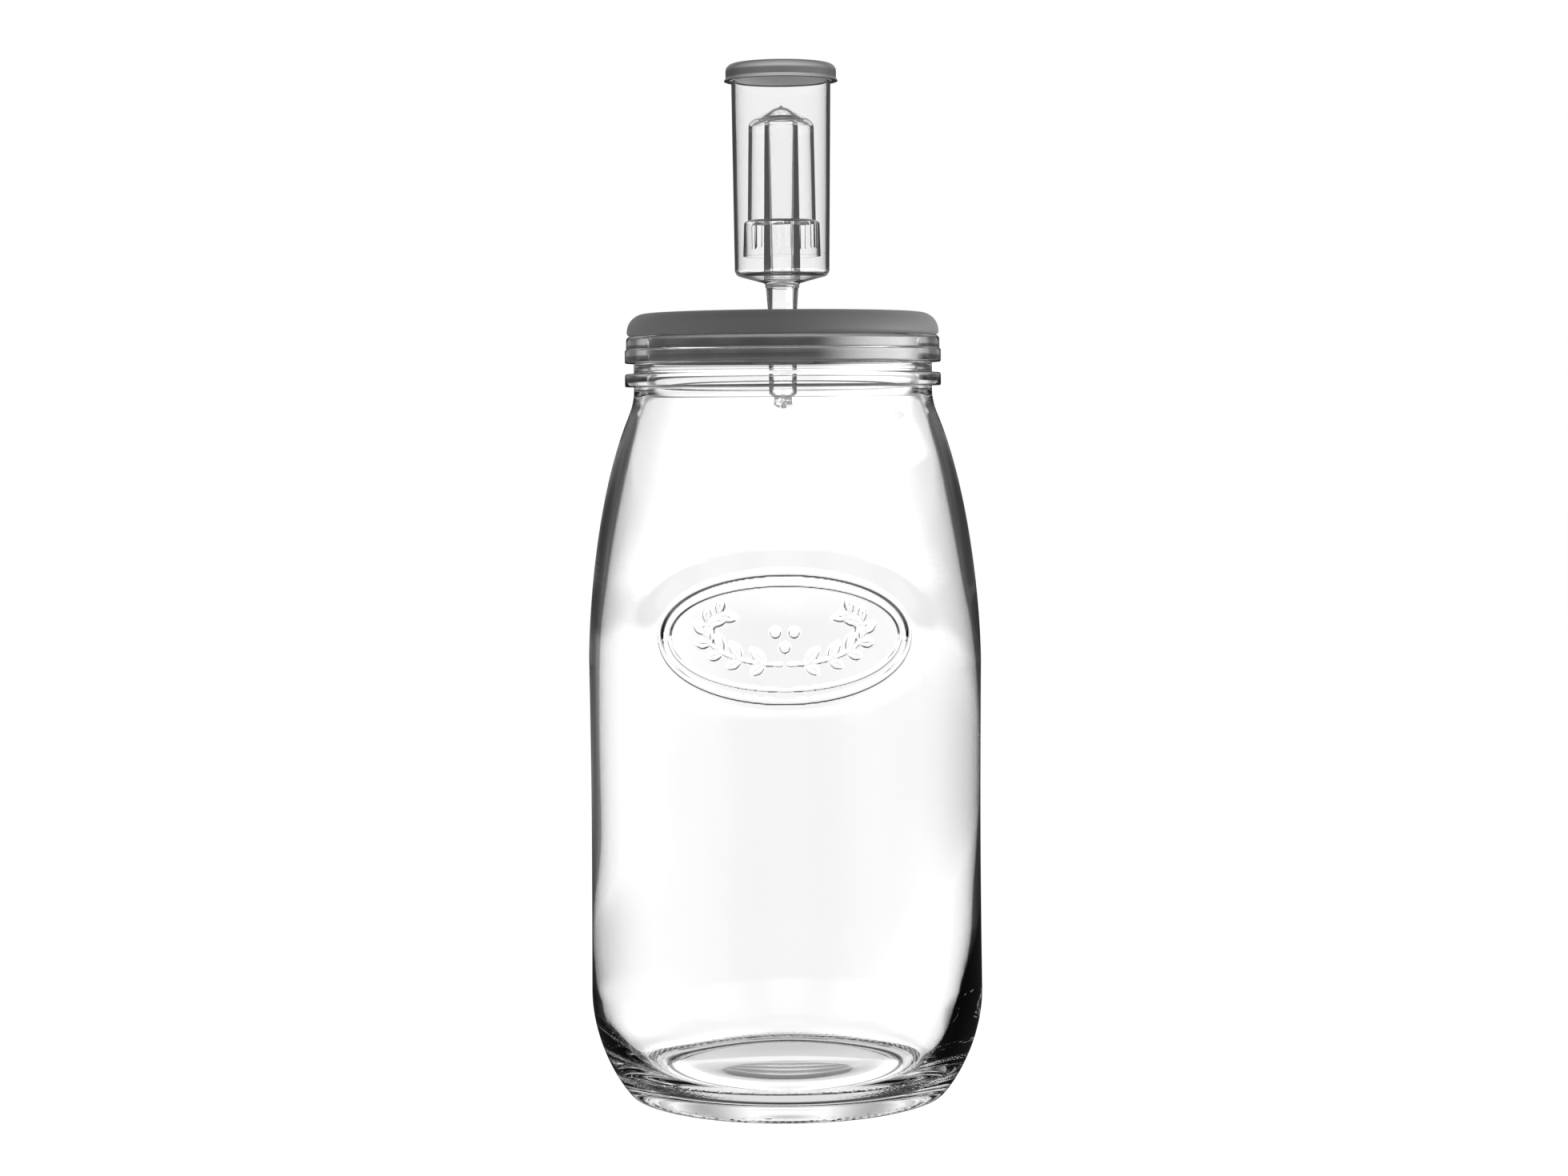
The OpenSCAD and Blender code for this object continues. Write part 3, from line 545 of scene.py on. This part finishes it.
def silicone_material():
    """Moulded silicone rubber: soft mid grey, satin, with a fine even mould texture and a trace of dust."""
    mat, t = new_material("moulded_silicone")
    at = add(t, "ShaderNodeTexCoord").outputs["Object"]
    cloud = add(t, "ShaderNodeTexNoise", {"Vector": at}, {"Scale": 1000 / 28, "Detail": 3.0})
    shade = add(t, "ShaderNodeMix", {"Factor": cloud.outputs["Fac"]}, data_type="RGBA")
    shade.inputs["A"].default_value = linear("#5a5a5b")
    shade.inputs["B"].default_value = linear("#626263")
    grain = add(t, "ShaderNodeTexNoise", {"Vector": at}, {"Scale": 1000 / 0.7, "Detail": 2.0})
    bump = add(t, "ShaderNodeBump", {"Height": grain.outputs["Fac"]}, {"Strength": 1.0, "Distance": 0.02 * MM})
    rough = add(t, "ShaderNodeMapRange", {"Value": cloud.outputs["Fac"]}, {"To Min": 0.5, "To Max": 0.64})
    skin = add(t, "ShaderNodeBsdfPrincipled",
               {"Base Color": shade.outputs["Result"], "Roughness": rough.outputs["Result"], "Normal": bump.outputs["Normal"]},
               {"IOR": 1.41, "Specular IOR Level": 0.15, "Sheen Weight": 0.08, "Sheen Roughness": 0.4})
    add(t, "ShaderNodeOutputMaterial", {"Surface": skin.outputs[0]})
    return mat


def cap_material():
    """Moulded polyethylene: grey, waxy and half glossy. Inside the skirt the colour is painted pale: painted light for
    the bright room behind shining through the thin wall.
    """
    mat, t = new_material("grey_polyethylene")
    at = add(t, "ShaderNodeTexCoord").outputs["Object"]
    cloud = add(t, "ShaderNodeTexNoise", {"Vector": at}, {"Scale": 1000 / 9, "Detail": 3.0})
    shade = add(t, "ShaderNodeMix", {"Factor": cloud.outputs["Fac"]}, data_type="RGBA")
    shade.inputs["A"].default_value = linear("#464647")
    shade.inputs["B"].default_value = linear("#505051")
    level = add(t, "ShaderNodeVectorMath", {0: at}, {1: (1, 1, 0)}, operation="MULTIPLY").outputs[0]
    radius = add(t, "ShaderNodeVectorMath", {0: level}, operation="LENGTH").outputs["Value"]
    bore = add(t, "ShaderNodeMath", {0: radius}, {1: (CAP_BORE_R + 0.1) * MM}, operation="LESS_THAN")
    height = add(t, "ShaderNodeSeparateXYZ", {"Vector": at}).outputs["Z"]
    low = add(t, "ShaderNodeMath", {0: height}, {1: (CUP_RIM_Z + 0.1) * MM}, operation="LESS_THAN")
    inside = add(t, "ShaderNodeMath", {0: bore.outputs[0], 1: low.outputs[0]}, operation="MULTIPLY")
    # Painted light: inside the skirt the grey gives way to a pale colour standing in for the light shining through the
    # thin wall.
    colour = add(t, "ShaderNodeMix", {"Factor": inside.outputs[0], "A": shade.outputs["Result"]}, data_type="RGBA")
    colour.inputs["B"].default_value = linear("#d0d0d0")
    bump = add(t, "ShaderNodeBump", {"Height": cloud.outputs["Fac"]}, {"Strength": 1.0, "Distance": 0.03 * MM})
    skin = add(t, "ShaderNodeBsdfPrincipled", {"Base Color": colour.outputs["Result"], "Normal": bump.outputs["Normal"]},
               {"Roughness": 0.22, "IOR": 1.51, "Specular IOR Level": 0.9})
    add(t, "ShaderNodeOutputMaterial", {"Surface": skin.outputs[0]})
    return mat


glass = clear_material("blown_soda_lime_glass", 1.52, "#fcfcfc", 34, 0.07, 0.25, dots_below=2.2)
clear_plastic = clear_material("clear_polystyrene", 1.57, "#fcfcfc", 9, 0.03, 0.35)
# The tip's dark colour is painted shade.
ground_plastic = clear_material("ground_polystyrene", 1.57, "#fafafa", 1.6, 0.5, 1.0, painted_shade="#2c2c2c")
silicone = silicone_material()
cap_plastic = cap_material()

jar = make_piece("jar_glass", *jar_mesh(), glass, "jar", "jar", "glass")
lid = make_piece("lid_silicone", *turned_piece(lid_outline(), even_angles(180), True), silicone, "lid", "lid", "silicone")
cup_verts, cup_faces = turned_piece(body_outline(), even_angles(144), True)
fin_verts, fin_faces = fins_mesh()
cup = make_piece("airlock_cup", cup_verts, cup_faces, clear_plastic, "airlock", "airlock_body", "clear_plastic")
fins = make_piece("airlock_tip_fins", fin_verts, fin_faces, ground_plastic, "airlock", "airlock_body", "clear_plastic", 30)
bell = make_piece("bubbler_bell", *bell_mesh(), clear_plastic, "bubbler", "bubbler", "clear_plastic")
cap = make_piece("airlock_cap_top", *cap_mesh(), cap_plastic, "cap", "airlock_cap", "grey_plastic")

# Floor, light and camera

FLOOR_SIZE = 6.0


def floor_material():
    """Pale floor: it shows white, keeps part of the shadow, and clear pieces see the white backdrop through it."""
    mat, t = new_material("pale_floor")
    path = add(t, "ShaderNodeLightPath")
    glow = add(t, "ShaderNodeEmission", values={"Color": (1, 1, 1, 1), "Strength": 0.945})
    matt = add(t, "ShaderNodeBsdfDiffuse", values={"Color": (0.16, 0.16, 0.16, 1)})
    both = add(t, "ShaderNodeAddShader", {0: glow.outputs[0], 1: matt.outputs[0]})
    beyond = add(t, "ShaderNodeBsdfTransparent")
    seen_past = add(t, "ShaderNodeMath", {0: path.outputs["Is Transmission Ray"], 1: path.outputs["Is Glossy Ray"]}, operation="MAXIMUM")
    mix = add(t, "ShaderNodeMixShader", {0: seen_past.outputs[0], 1: both.outputs[0], 2: beyond.outputs[0]})
    add(t, "ShaderNodeOutputMaterial", {"Surface": mix.outputs[0]})
    return mat


floor_mesh = bpy.data.meshes.new("floor")
floor_mesh.from_pydata([(-FLOOR_SIZE, -FLOOR_SIZE, 0), (FLOOR_SIZE, -FLOOR_SIZE, 0), (FLOOR_SIZE, FLOOR_SIZE, 0), (-FLOOR_SIZE, FLOOR_SIZE, 0)], [], [(0, 1, 2, 3)])
floor_mesh.materials.append(floor_material())
floor = bpy.data.objects.new("floor", floor_mesh)
bpy.context.scene.collection.objects.link(floor)

STRIP_R, STRIP_LOW, STRIP_HIGH = 0.12, 0.241, 0.274


def strip_light():
    """A soft strip at the right, level with the jar's mouth, bent round the jar: an arc of radius STRIP_R between two
    heights. Only a first reflection shows it, and it grows from nothing at its front end."""
    turns = np.radians(np.linspace(-75, 12, 30))
    low = np.column_stack([STRIP_R * np.cos(turns), STRIP_R * np.sin(turns), np.full(30, STRIP_LOW)])
    high = low + (0, 0, STRIP_HIGH - STRIP_LOW)
    k = np.arange(29)
    mesh = bpy.data.meshes.new("strip")
    mesh.from_pydata(np.concatenate([low, high]).tolist(), [], np.stack([k, k + 30, k + 31, k + 1], 1).tolist())
    mat, t = new_material("strip_light")
    at = add(t, "ShaderNodeSeparateXYZ", {"Vector": add(t, "ShaderNodeTexCoord").outputs["Object"]})
    growing = add(t, "ShaderNodeMapRange", {"Value": at.outputs["X"]},
                  {"From Min": 0.28 * STRIP_R, "From Max": 0.85 * STRIP_R, "To Min": 0.0, "To Max": 11.0}, interpolation_type="SMOOTHSTEP")
    fading = add(t, "ShaderNodeMapRange", {"Value": at.outputs["Y"]},
                 {"From Min": -0.3 * STRIP_R, "From Max": 0.2 * STRIP_R, "To Min": 1.0, "To Max": 0.0}, interpolation_type="SMOOTHSTEP")
    soft_edge = add(t, "ShaderNodeMapRange", {"Value": at.outputs["Z"]},
                    {"From Min": STRIP_LOW, "From Max": STRIP_LOW + 0.006}, interpolation_type="SMOOTHSTEP")
    first = add(t, "ShaderNodeMath", {0: add(t, "ShaderNodeLightPath").outputs["Transmission Depth"]}, {1: 0.5}, operation="LESS_THAN")
    along = add(t, "ShaderNodeMath", {0: growing.outputs["Result"], 1: fading.outputs["Result"]}, operation="MULTIPLY")
    across = add(t, "ShaderNodeMath", {0: along.outputs[0], 1: soft_edge.outputs["Result"]}, operation="MULTIPLY")
    level = add(t, "ShaderNodeMath", {0: across.outputs[0], 1: first.outputs[0]}, operation="MULTIPLY")
    glow = add(t, "ShaderNodeEmission", {"Strength": level.outputs[0]}, {"Color": (1, 1, 1, 1)})
    beyond = add(t, "ShaderNodeBsdfTransparent")
    both = add(t, "ShaderNodeAddShader", {0: glow.outputs[0], 1: beyond.outputs[0]})
    add(t, "ShaderNodeOutputMaterial", {"Surface": both.outputs[0]})
    mesh.materials.append(mat)
    strip = bpy.data.objects.new("strip", mesh)
    bpy.context.scene.collection.objects.link(strip)
    strip.visible_camera = strip.visible_diffuse = strip.visible_shadow = False


def studio_world():
    """A glass photographer's bright field. Behind a clear piece it is white as far as its glass bends the view, in eight
    directions, with grey between them and above, and it grows stronger behind more walls. Light that has turned back
    inside the glass meets a darker room with narrow white fields. Gloss shows lights overhead. For everything else the
    room is plain and even."""
    world = bpy.data.worlds.new("studio")
    bpy.context.scene.world = world
    world.use_nodes = True
    t = world.node_tree
    t.nodes.clear()
    way = add(t, "ShaderNodeTexCoord").outputs["Generated"]
    path = add(t, "ShaderNodeLightPath")
    xyz = add(t, "ShaderNodeSeparateXYZ", {"Vector": way})
    turn = add(t, "ShaderNodeMath", {0: xyz.outputs["Y"], 1: xyz.outputs["X"]}, operation="ARCTAN2")
    waves = [add(t, "ShaderNodeMath", {0: add(t, "ShaderNodeMath", {0: turn.outputs[0]}, {1: n}, operation="MULTIPLY").outputs[0]},
                 operation="COSINE").outputs[0] for n in (8.0, 4.0)]
    lift = add(t, "ShaderNodeMath", {0: waves[1], 2: xyz.outputs["Z"]}, {1: -0.147}, operation="MULTIPLY_ADD").outputs[0]
    cards = add(t, "ShaderNodeMapRange", {"Value": waves[0]},
                {"From Min": -1.0, "From Max": -0.75, "To Min": 0.2, "To Max": 1.0}, interpolation_type="SMOOTHSTEP")
    above = add(t, "ShaderNodeMapRange", {"Value": lift},
                {"From Min": 0.03, "From Max": 0.14, "To Min": 1.0, "To Max": 0.08}, interpolation_type="SMOOTHSTEP")
    walls = add(t, "ShaderNodeMapRange", {"Value": path.outputs["Transmission Depth"]},
                {"From Min": 4.0, "From Max": 12.0, "To Min": 1.12, "To Max": 1.76})
    aside = add(t, "ShaderNodeMapRange", {"Value": waves[0]}, {"From Min": 0.65, "From Max": 1.0, "To Min": 0.38, "To Max": 0.0})
    beneath = add(t, "ShaderNodeMapRange", {"Value": xyz.outputs["Z"]},
                  {"From Min": -0.05, "From Max": -0.01, "To Min": 1.0, "To Max": 0.0}, interpolation_type="SMOOTHSTEP")
    flank = add(t, "ShaderNodeMath", {0: aside.outputs["Result"], 1: beneath.outputs["Result"]}, {2: 1.0}, operation="MULTIPLY_ADD")
    strong = add(t, "ShaderNodeMath", {0: cards.outputs["Result"], 1: flank.outputs[0]}, operation="MULTIPLY")
    field = add(t, "ShaderNodeMath", {0: strong.outputs[0], 1: above.outputs["Result"]}, operation="MULTIPLY")
    through = add(t, "ShaderNodeMath", {0: field.outputs[0], 1: walls.outputs["Result"]}, operation="MULTIPLY")
    height = add(t, "ShaderNodeMath", {0: xyz.outputs["Z"]}, {1: 0.5, 2: 0.5}, operation="MULTIPLY_ADD")
    room = add(t, "ShaderNodeValToRGB", {"Fac": height.outputs[0]},
               stops=((0.0, 0.8), (0.1, 0.8), (0.17, 0.04), (0.47, 0.03), (0.725, 0.04), (0.825, 0.6)))
    narrow = add(t, "ShaderNodeMapRange", {"Value": waves[0]},
                 {"From Min": -1.0, "From Max": 0.8, "To Min": 0.11, "To Max": 0.44}, interpolation_type="SMOOTHSTEP")
    level = add(t, "ShaderNodeMapRange", {"Value": xyz.outputs["Z"]}, {"From Min": -0.24, "From Max": -0.16}, interpolation_type="SMOOTHSTEP")
    faint = add(t, "ShaderNodeMapRange", {"Value": xyz.outputs["Z"]},
                {"From Min": -0.02, "From Max": 0.02, "To Min": 1.0, "To Max": 0.25}, interpolation_type="SMOOTHSTEP")
    lower = add(t, "ShaderNodeMapRange", {"Value": lift},
                {"From Min": 0.15, "From Max": 0.25, "To Min": 1.0, "To Max": 0.0}, interpolation_type="SMOOTHSTEP")
    ahead = add(t, "ShaderNodeMath", {0: narrow.outputs["Result"], 1: lower.outputs["Result"]}, operation="MULTIPLY")
    upward = add(t, "ShaderNodeMapRange", {"Value": xyz.outputs["Z"]}, {"From Min": 0.15, "From Max": 0.2}, interpolation_type="SMOOTHSTEP")
    one_wall = add(t, "ShaderNodeMath", {0: path.outputs["Transmission Depth"]}, {1: 2.5}, operation="LESS_THAN")
    near = add(t, "ShaderNodeMath", {0: level.outputs["Result"], 1: faint.outputs["Result"]}, operation="MULTIPLY")
    flat_way = add(t, "ShaderNodeMath", {0: ahead.outputs[0], 1: near.outputs[0]}, operation="MULTIPLY")
    edge = add(t, "ShaderNodeMath", {0: flat_way.outputs[0], 1: one_wall.outputs[0]}, operation="MULTIPLY")
    side = add(t, "ShaderNodeMapRange", {"Value": waves[0]}, {"From Min": -1.0, "From Max": 0.3, "To Min": 0.4, "To Max": 1.0})
    base = add(t, "ShaderNodeMath", {0: upward.outputs["Result"], 1: side.outputs["Result"]}, operation="MULTIPLY")
    window = add(t, "ShaderNodeMath", {0: edge.outputs[0], 1: base.outputs[0]}, operation="MAXIMUM")
    deep = add(t, "ShaderNodeMapRange", {"Value": path.outputs["Transmission Depth"]},
               {"From Min": 3.0, "From Max": 6.0, "To Min": 0.0, "To Max": 0.06})
    dim = add(t, "ShaderNodeMath", {0: room.outputs["Color"], 1: deep.outputs["Result"]}, operation="ADD")
    turned_back = add(t, "ShaderNodeMix", {"Factor": window.outputs[0], "A": dim.outputs[0]}, {"B": 1.1}, data_type="FLOAT")
    overhead = add(t, "ShaderNodeValToRGB", {"Fac": height.outputs[0]},
                   stops=((0.0, 0.06), (0.4, 0.04), (0.5, 0.02), (0.54, 0.02), (0.6, 0.6), (0.7, 1.0)))
    front = add(t, "ShaderNodeMapRange", {"Value": xyz.outputs["Y"]}, {"From Min": -0.8, "From Max": 0.5, "To Min": 5.5, "To Max": 0.6})
    lights = add(t, "ShaderNodeMath", {0: overhead.outputs["Color"], 1: front.outputs["Result"]}, operation="MULTIPLY")
    inside = add(t, "ShaderNodeMath", {0: path.outputs["Glossy Depth"]}, {1: 0.5}, operation="GREATER_THAN")
    clear = add(t, "ShaderNodeMix", {"Factor": inside.outputs[0], "A": through.outputs[0], "B": turned_back.outputs["Result"]}, data_type="FLOAT")
    gloss = add(t, "ShaderNodeMix", {"Factor": path.outputs["Is Glossy Ray"], "B": lights.outputs[0]}, {"A": 0.35}, data_type="FLOAT")
    past = add(t, "ShaderNodeMix", {"Factor": path.outputs["Is Transmission Ray"], "A": gloss.outputs["Result"], "B": clear.outputs["Result"]},
               data_type="FLOAT")
    seen = add(t, "ShaderNodeMix", {"Factor": path.outputs["Is Camera Ray"], "A": past.outputs["Result"]}, {"B": 1.0}, data_type="FLOAT")
    back = add(t, "ShaderNodeBackground", {"Strength": seen.outputs["Result"]}, {"Color": (1, 1, 1, 1)})
    add(t, "ShaderNodeOutputWorld", {"Surface": back.outputs[0]})


def soft_lamp(name, place, aim, size, power):
    """A square soft lamp at a place, turned towards a point. Glass and gloss don't show it."""
    data = bpy.data.lights.new(name, "AREA")
    data.shape, data.size, data.energy = "SQUARE", size, power
    lamp = bpy.data.objects.new(name, data)
    bpy.context.scene.collection.objects.link(lamp)
    way = np.array(aim, float) - np.array(place, float)
    turn = math.atan2(way[1], way[0])
    tilt = math.acos(-way[2] / np.linalg.norm(way))
    lamp.location = place
    lamp.rotation_euler = (tilt, 0, turn - math.pi / 2)
    lamp.visible_glossy = lamp.visible_transmission = False


studio_world()
strip_light()
soft_lamp("key_right", (1.6, -0.05, 0.35), (0, 0, 0.22), 0.9, 42)
soft_lamp("fill_left", (-1.6, -0.1, 0.35), (0, 0, 0.22), 0.9, 10)

camera_data = bpy.data.cameras.new("camera")
camera_data.sensor_width = 36.0
camera_data.lens = 36.0 * 3900 / 1960
camera_data.clip_start, camera_data.clip_end = 0.01, 50
camera = bpy.data.objects.new("camera", camera_data)
bpy.context.scene.collection.objects.link(camera)
camera.location = (0.0003, -1.080, 0.2376)
camera.rotation_euler = (math.radians(90 - 3.302), math.radians(0.42), 0)
bpy.context.scene.camera = camera

scene = bpy.context.scene
scene.view_settings.view_transform = "Standard"
scene.cycles.max_bounces = 32
scene.cycles.transmission_bounces = 28
scene.cycles.glossy_bounces = 10
scene.cycles.diffuse_bounces = 4
scene.cycles.transparent_max_bounces = 32
scene.cycles.caustics_reflective = False
scene.cycles.caustics_refractive = False
